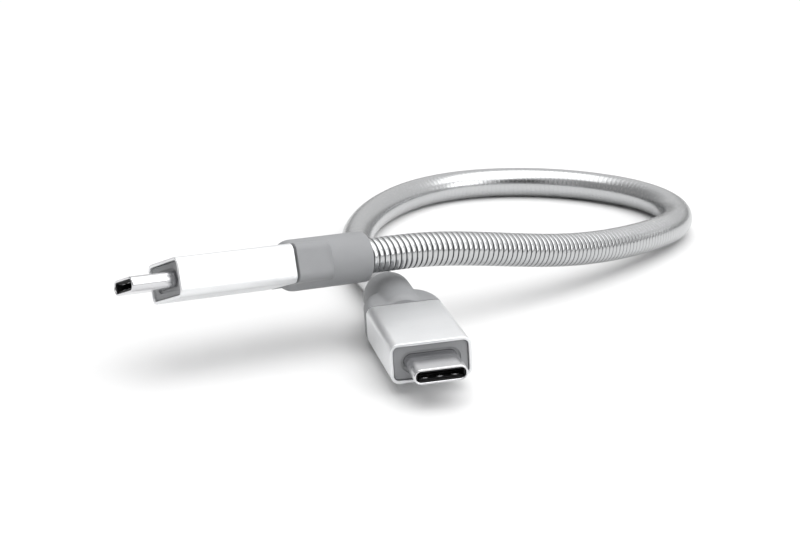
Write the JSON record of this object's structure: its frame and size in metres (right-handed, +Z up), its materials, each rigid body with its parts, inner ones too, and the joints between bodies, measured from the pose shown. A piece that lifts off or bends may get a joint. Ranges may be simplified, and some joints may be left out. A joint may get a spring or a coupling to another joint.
{
  "type": "charging cable",
  "caption": "Short charging cable with a flat plug at each end: oval metal tips in metal sleeves, grey strain reliefs, and a loop of spiral armoured steel hose between them.",
  "frame": {"origin": "under the middle of the whole cable, on the surface it lies on", "axes": "+Z up, -Y towards the front, the way plug_b points, +X to the right, the side the loop lies on"},
  "size_m": [0.1004, 0.121, 0.0193],
  "materials": {
    "anodised_sleeve": "bead blasted and clear anodised, satin",
    "polished_shell": "drawn steel, nickel plated and polished",
    "hose_steel": "stainless strip wound in a spiral, bright",
    "grey_moulding": "moulded, fine matt texture",
    "black_insulator": "moulded, semi-matt",
    "spring_steel": "stamped, bright",
    "gold_contacts": "gold plated, bright",
    "circuit_card": "solder mask, satin",
    "chip_black": "moulded, matt",
    "tinned_can": "drawn and tinned, satin",
    "brass_ferrule": "turned, bright",
    "jacket_black": "extruded, satin",
    "braid_tinned": "woven tinned copper, bright",
    "wire_red": "extruded, satin",
    "wire_green": "extruded, satin",
    "wire_white": "extruded, satin",
    "wire_blue": "extruded, satin",
    "wire_black": "extruded, satin"
  },
  "bodies": {
    "hose": {"armoured_hose": "hose_steel", "cable_jacket": "jacket_black", "shield_braid": "braid_tinned", "wire_power": "wire_red", "wire_data_plus": "wire_green", "wire_data_minus": "wire_white", "wire_control": "wire_blue", "wire_ground": "wire_black"},
    "plug_a": {"plug_a_sleeve": "anodised_sleeve", "plug_a_core": "grey_moulding", "plug_a_strain_relief": "grey_moulding", "plug_a_crimp_ferrule": "brass_ferrule", "plug_a_connector_shell": "polished_shell", "plug_a_contact_insulator": "black_insulator", "plug_a_ground_spring_top": "spring_steel", "plug_a_ground_spring_bottom": "spring_steel", "plug_a_latch": "spring_steel", "plug_a_circuit_card": "circuit_card", "plug_a_shield_can_top": "tinned_can", "plug_a_shield_can_bottom": "tinned_can", "plug_a_contact_a1": "gold_contacts", "plug_a_contact_a4": "gold_contacts", "plug_a_contact_a5": "gold_contacts", "plug_a_contact_a6": "gold_contacts", "plug_a_contact_a7": "gold_contacts", "plug_a_contact_a9": "gold_contacts", "plug_a_contact_a12": "gold_contacts", "plug_a_contact_b1": "gold_contacts", "plug_a_contact_b4": "gold_contacts", "plug_a_contact_b5": "gold_contacts", "plug_a_contact_b9": "gold_contacts", "plug_a_contact_b12": "gold_contacts", "plug_a_marker_chip": "chip_black"},
    "plug_b": {"plug_b_sleeve": "anodised_sleeve", "plug_b_core": "grey_moulding", "plug_b_strain_relief": "grey_moulding", "plug_b_crimp_ferrule": "brass_ferrule", "plug_b_connector_shell": "polished_shell", "plug_b_contact_insulator": "black_insulator", "plug_b_ground_spring_top": "spring_steel", "plug_b_ground_spring_bottom": "spring_steel", "plug_b_latch": "spring_steel", "plug_b_circuit_card": "circuit_card", "plug_b_shield_can_top": "tinned_can", "plug_b_shield_can_bottom": "tinned_can", "plug_b_contact_a1": "gold_contacts", "plug_b_contact_a4": "gold_contacts", "plug_b_contact_a5": "gold_contacts", "plug_b_contact_a6": "gold_contacts", "plug_b_contact_a7": "gold_contacts", "plug_b_contact_a9": "gold_contacts", "plug_b_contact_a12": "gold_contacts", "plug_b_contact_b1": "gold_contacts", "plug_b_contact_b4": "gold_contacts", "plug_b_contact_b5": "gold_contacts", "plug_b_contact_b9": "gold_contacts", "plug_b_contact_b12": "gold_contacts"}
  },
  "joints": [
    {"name": "flex_a", "type": "hinge", "parent": "hose", "child": "plug_a", "pos_m": [-0.0009, -0.0197, 0.0122], "axis": [0, 0, 1], "range_deg": [-25, 25], "deforming": ["armoured_hose", "cable_jacket", "shield_braid", "wire_power", "wire_data_plus", "wire_data_minus", "wire_control", "wire_ground"]},
    {"name": "flex_b", "type": "hinge", "parent": "hose", "child": "plug_b", "pos_m": [-0.0108, -0.0068, 0.0038], "axis": [0, 0, 1], "range_deg": [-25, 25], "deforming": ["armoured_hose", "cable_jacket", "shield_braid", "wire_power", "wire_data_plus", "wire_data_minus", "wire_control", "wire_ground"]}
  ]
}
